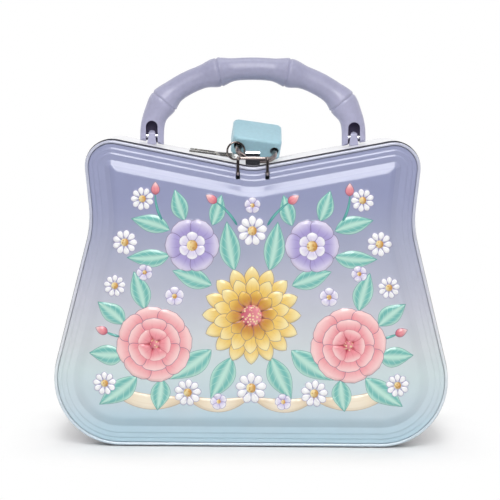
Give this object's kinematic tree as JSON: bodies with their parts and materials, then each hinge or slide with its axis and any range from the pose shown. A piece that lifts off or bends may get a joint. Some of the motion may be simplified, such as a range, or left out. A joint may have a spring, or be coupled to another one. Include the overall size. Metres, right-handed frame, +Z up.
{
  "type": "tin money box",
  "caption": "Handbag-shaped tin money box with a bottom-hinged embossed front lid, wire hasp, small padlock with keys and a folding bamboo-look handle.",
  "frame": {"origin": "middle of the flat base at mid depth, on the surface the box stands on", "axes": "+X to the right seen from the front, +Y to the back, +Z up"},
  "size_m": [0.16, 0.0675, 0.1578],
  "materials": {
    "tin_white": "glossy white lacquer on tinplate",
    "tin_print": "glossy printed lacquer, lilac to pale blue",
    "bare_tin": "plain tinplate",
    "chrome": "bright plated steel",
    "handle_plastic": "satin moulded plastic",
    "lock_plastic": "smooth moulded plastic",
    "lock_core": "cast metal",
    "brass": "turned brass",
    "key_steel": "nickel plated steel"
  },
  "bodies": {
    "body": {"body_band": "tin_white", "back_panel": "tin_print", "inner_collar": "bare_tin", "body_hinge_leaf": "bare_tin", "hinge_pin": "bare_tin", "catch_staple": "chrome", "handle_lug_left": "handle_plastic", "handle_lug_right": "handle_plastic", "lug_plates": "bare_tin"},
    "lid": {"lid_band": "tin_white", "lid_panel": "tin_print", "lid_hinge_leaf": "bare_tin"},
    "bail": {"hasp_bail": "chrome"},
    "handle": {"handle": "handle_plastic", "handle_pins": "chrome"},
    "shackle": {"padlock_shackle": "chrome"},
    "padlock": {"padlock_cover": "lock_plastic", "padlock_core": "lock_core"},
    "cylinder": {"padlock_cylinder": "brass"},
    "bolt": {"padlock_bolt": "brass"},
    "ring": {"key_ring": "chrome"},
    "key_one": {"key_front": "key_steel"},
    "key_two": {"key_back": "key_steel"}
  },
  "joints": [
    {"name": "lid_hinge", "type": "hinge", "parent": "body", "child": "lid", "pos_m": [0, -0.025, 0.0014], "axis": [1, 0, 0], "range_deg": [0, 105]},
    {"name": "bail_swing", "type": "hinge", "parent": "lid", "child": "bail", "pos_m": [0, -0.03005, 0.1104], "axis": [1, 0, 0], "range_deg": [0, 40]},
    {"name": "handle_swing", "type": "hinge", "parent": "body", "child": "handle", "pos_m": [0, 0, 0.12497], "axis": [-1, 0, 0], "range_deg": [-75, 75]},
    {"name": "padlock_swing", "type": "hinge", "parent": "body", "child": "shackle", "pos_m": [0.0014, -0.0212, 0.1158], "axis": [1, 0, 0], "range_deg": [0, 55]},
    {"name": "padlock_pull", "type": "slide", "parent": "shackle", "child": "padlock", "axis": [0, 0.9063, 0.4226], "range_m": [0, 0.007]},
    {"name": "cylinder_turn", "type": "hinge", "parent": "padlock", "child": "cylinder", "pos_m": [0.0014, -0.00407, 0.12379], "axis": [0, 0.9063, 0.4226], "range_deg": [0, 90]},
    {"name": "bolt_slide", "type": "slide", "parent": "padlock", "child": "bolt", "axis": [0.989, 0.0625, -0.134], "range_m": [0, 0.001]},
    {"name": "ring_swing", "type": "hinge", "parent": "shackle", "child": "ring", "pos_m": [-0.00602, -0.0136, 0.12057], "axis": [0, 0.9063, 0.4226], "range_deg": [0, 15]},
    {"name": "key_one_turn", "type": "hinge", "parent": "ring", "child": "key_one", "pos_m": [-0.00984, -0.0139, 0.11728], "axis": [0.1253, 0, 0.9921], "range_deg": [-12, 12]},
    {"name": "key_two_turn", "type": "hinge", "parent": "ring", "child": "key_two", "pos_m": [-0.01028, -0.01416, 0.11821], "axis": [0.1115, 0, 0.9938], "range_deg": [-12, 12]}
  ],
  "couplings": [
    {"joint": "cylinder_turn", "follows": "bolt_slide", "rad_per_m": 1570.8}
  ]
}
